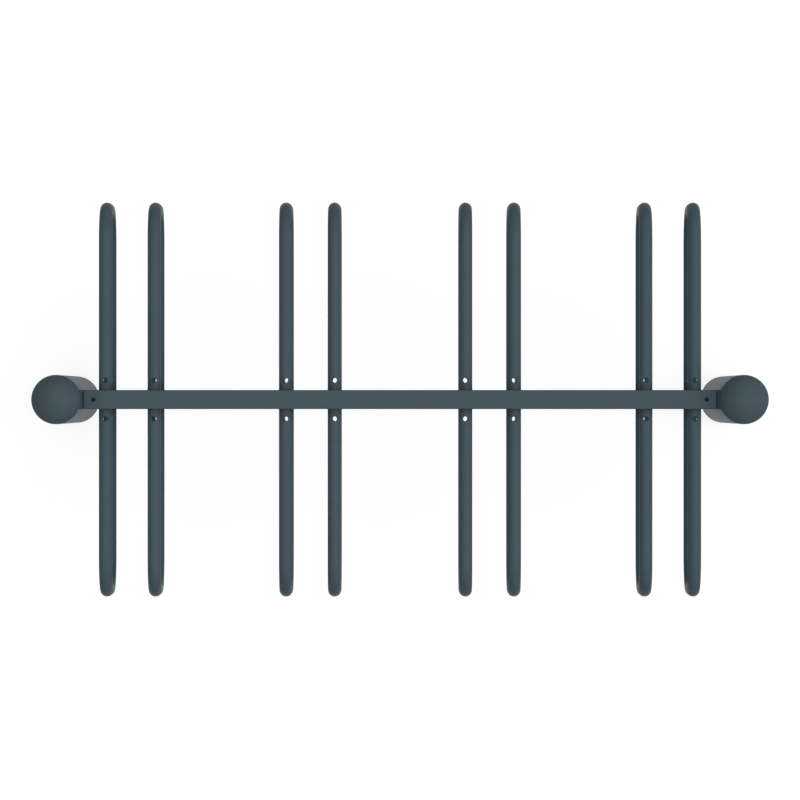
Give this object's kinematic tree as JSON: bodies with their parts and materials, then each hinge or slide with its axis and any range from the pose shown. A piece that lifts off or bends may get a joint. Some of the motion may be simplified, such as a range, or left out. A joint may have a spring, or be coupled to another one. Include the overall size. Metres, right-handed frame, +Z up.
{
  "type": "double-sided bike rack",
  "caption": "Street bicycle stand: round domed posts joined by two beams, with rows of looped tube hoops on both sides that grip a wheel between them.",
  "frame": {"origin": "on the ground, midway between the two posts", "axes": "+X along the beams, +Y across them towards the back hoops, +Z up"},
  "size_m": [1.389, 0.748, 0.746],
  "materials": {
    "powder_coat": "satin dark slate powder coat over galvanized steel",
    "zinc_steel": "dull hot-dip zinc",
    "black_steel": "blackened, as socket set screws come"
  },
  "bodies": {
    "root": {"left_post": "powder_coat", "right_post": "powder_coat", "left_post_cap": "powder_coat", "right_post_cap": "powder_coat", "left_foot_plate": "zinc_steel", "right_foot_plate": "zinc_steel", "left_upper_collar": "powder_coat", "left_lower_collar": "powder_coat", "right_upper_collar": "powder_coat", "right_lower_collar": "powder_coat", "left_upper_spigot": "powder_coat", "left_lower_spigot": "powder_coat", "right_upper_spigot": "powder_coat", "right_lower_spigot": "powder_coat", "upper_weld_nuts": "powder_coat", "lower_weld_nuts": "powder_coat", "upper_lock_screws": "black_steel", "lower_lock_screws": "black_steel", "upper_beam": "powder_coat", "lower_beam": "powder_coat", "front_hoop_1_left": "powder_coat", "front_hoop_1_right": "powder_coat", "front_hoop_2_left": "powder_coat", "front_hoop_2_right": "powder_coat", "front_hoop_3_left": "powder_coat", "front_hoop_3_right": "powder_coat", "front_hoop_4_left": "powder_coat", "front_hoop_4_right": "powder_coat", "back_hoop_1_left": "powder_coat", "back_hoop_1_right": "powder_coat", "back_hoop_2_left": "powder_coat", "back_hoop_2_right": "powder_coat", "back_hoop_3_left": "powder_coat", "back_hoop_3_right": "powder_coat", "back_hoop_4_left": "powder_coat", "back_hoop_4_right": "powder_coat"}
  },
  "joints": []
}
